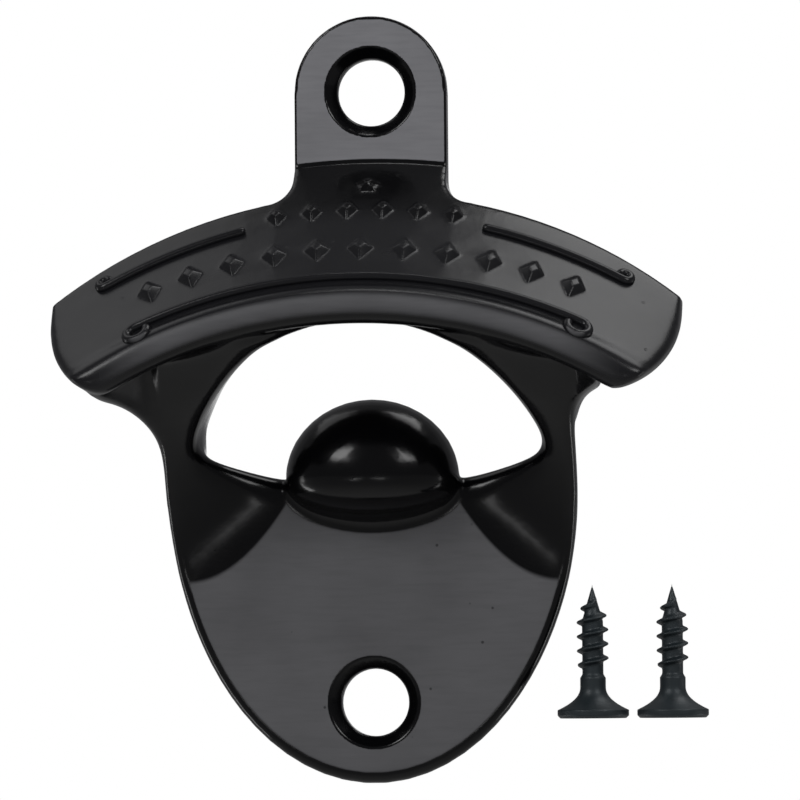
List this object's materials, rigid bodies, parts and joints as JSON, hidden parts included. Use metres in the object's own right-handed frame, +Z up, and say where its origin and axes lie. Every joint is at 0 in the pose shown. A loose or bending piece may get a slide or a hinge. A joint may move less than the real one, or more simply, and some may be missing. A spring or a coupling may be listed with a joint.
{
  "type": "wall-mounted bottle opener",
  "caption": "Cast wall-mounted bottle opener: arched hood with a rolled lip, open mouth, lifting tooth and countersunk wall plate with hanging tab, shown with its loose fixing screws.",
  "frame": {"origin": "on the wall, midway between the centres of the upper and lower fixing holes", "axes": "+Z up along the wall through both fixing holes, +X to the viewer's right, the wall is the plane y = 0 and the front faces -Y"},
  "size_m": [0.0709, 0.0236, 0.0845],
  "materials": {
    "casting": "gloss black stove paint over an as-cast surface, lightly scuffed on the flat faces",
    "screw": "black phosphated steel with a dull sheen"
  },
  "bodies": {
    "opener": {"opener_body": "casting"},
    "screw_left": {"fixing_screw_left": "screw"},
    "screw_right": {"fixing_screw_right": "screw"}
  },
  "joints": [
    {"name": "left_screw_pick_up", "type": "slide", "parent": "opener", "child": "screw_left", "axis": [0, -1, 0], "range_m": [0, 0.04]},
    {"name": "right_screw_pick_up", "type": "slide", "parent": "opener", "child": "screw_right", "axis": [0, -1, 0], "range_m": [0, 0.04]}
  ]
}
